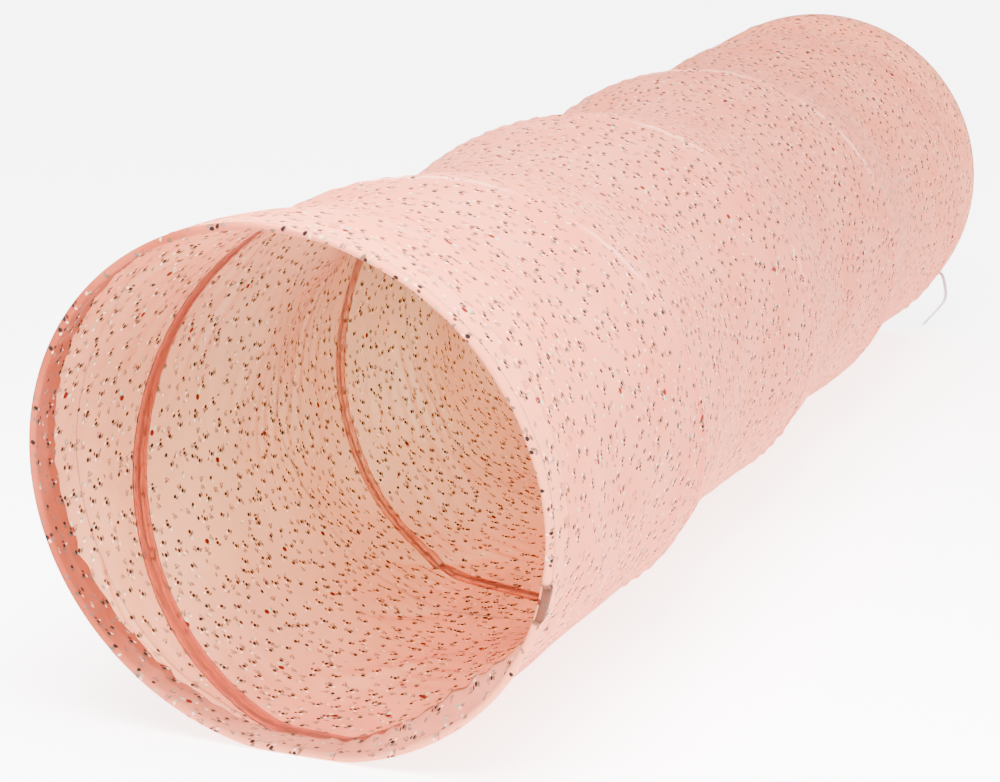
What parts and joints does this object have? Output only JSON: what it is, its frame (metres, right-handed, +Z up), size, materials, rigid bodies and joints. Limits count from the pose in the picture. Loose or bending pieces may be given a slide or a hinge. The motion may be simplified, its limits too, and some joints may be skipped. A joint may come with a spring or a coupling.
{
  "type": "play tunnel",
  "caption": "Pop-up crawl tunnel: a light cloth tube held open by one sprung wire coil, with a hoop and a wide hem at each mouth and a tie ribbon. It folds flat along its axis.",
  "frame": {"origin": "centre of the bounding box's bottom face, on the floor under the middle of the tunnel", "axes": "+Y along the tunnel from the near mouth to the far mouth, +Z up, +X to the right seen from the near mouth"},
  "size_m": [0.496, 1.8884, 0.4764],
  "materials": {
    "printed_cotton": "thin plain-weave cotton with a small scattered print",
    "turned_cotton": "the same cotton turned in double, stitched along its inner edge",
    "plain_tape": "plain woven tape, sewn over the coil",
    "sprung_wire": "bright drawn spring wire",
    "crimped_sleeve": "crimped steel sleeve",
    "woven_ribbon": "narrow woven ribbon, greyed mauve"
  },
  "bodies": {
    "front_end": {"front_hem": "turned_cotton", "front_hoop": "sprung_wire", "front_ferrule": "crimped_sleeve", "cloth_collar": "printed_cotton", "coil_spring": "sprung_wire", "cloth_bay_1": "printed_cotton", "casing_tape_1": "plain_tape"},
    "turn_1": {"cloth_bay_2": "printed_cotton", "casing_tape_2": "plain_tape"},
    "turn_2": {"cloth_bay_3": "printed_cotton", "casing_tape_3": "plain_tape"},
    "turn_3": {"cloth_bay_4": "printed_cotton", "casing_tape_4": "plain_tape"},
    "turn_4": {"cloth_bay_5": "printed_cotton", "casing_tape_5": "plain_tape"},
    "rear_end": {"rear_hem": "turned_cotton", "rear_hoop": "sprung_wire", "rear_ferrule": "crimped_sleeve", "ribbon_tab": "woven_ribbon", "tie_ribbon": "woven_ribbon"}
  },
  "joints": [
    {"name": "collapse_turn_1", "type": "slide", "parent": "front_end", "child": "turn_1", "axis": [0, -1, 0], "range_m": [0, 0.33034], "stiffness_N_per_m": 40, "springref_m": -0.1, "deforming": ["cloth_bay_1", "casing_tape_1", "coil_spring"]},
    {"name": "collapse_turn_2", "type": "slide", "parent": "turn_1", "child": "turn_2", "axis": [0, -1, 0], "range_m": [0, 0.33034], "stiffness_N_per_m": 40, "springref_m": -0.1, "deforming": ["cloth_bay_2", "casing_tape_2"]},
    {"name": "collapse_turn_3", "type": "slide", "parent": "turn_2", "child": "turn_3", "axis": [0, -1, 0], "range_m": [0, 0.33034], "stiffness_N_per_m": 40, "springref_m": -0.1, "deforming": ["cloth_bay_3", "casing_tape_3"]},
    {"name": "collapse_turn_4", "type": "slide", "parent": "turn_3", "child": "turn_4", "axis": [0, -1, 0], "range_m": [0, 0.33034], "stiffness_N_per_m": 40, "springref_m": -0.1, "deforming": ["cloth_bay_4", "casing_tape_4"]},
    {"name": "collapse_rear_end", "type": "slide", "parent": "turn_4", "child": "rear_end", "axis": [0, -1, 0], "range_m": [0, 0.33034], "stiffness_N_per_m": 40, "springref_m": -0.1, "deforming": ["cloth_bay_5", "casing_tape_5"]}
  ],
  "couplings": [
    {"joint": "collapse_turn_2", "follows": "collapse_turn_1", "ratio": 1},
    {"joint": "collapse_turn_3", "follows": "collapse_turn_1", "ratio": 1},
    {"joint": "collapse_turn_4", "follows": "collapse_turn_1", "ratio": 1},
    {"joint": "collapse_rear_end", "follows": "collapse_turn_1", "ratio": 1}
  ]
}
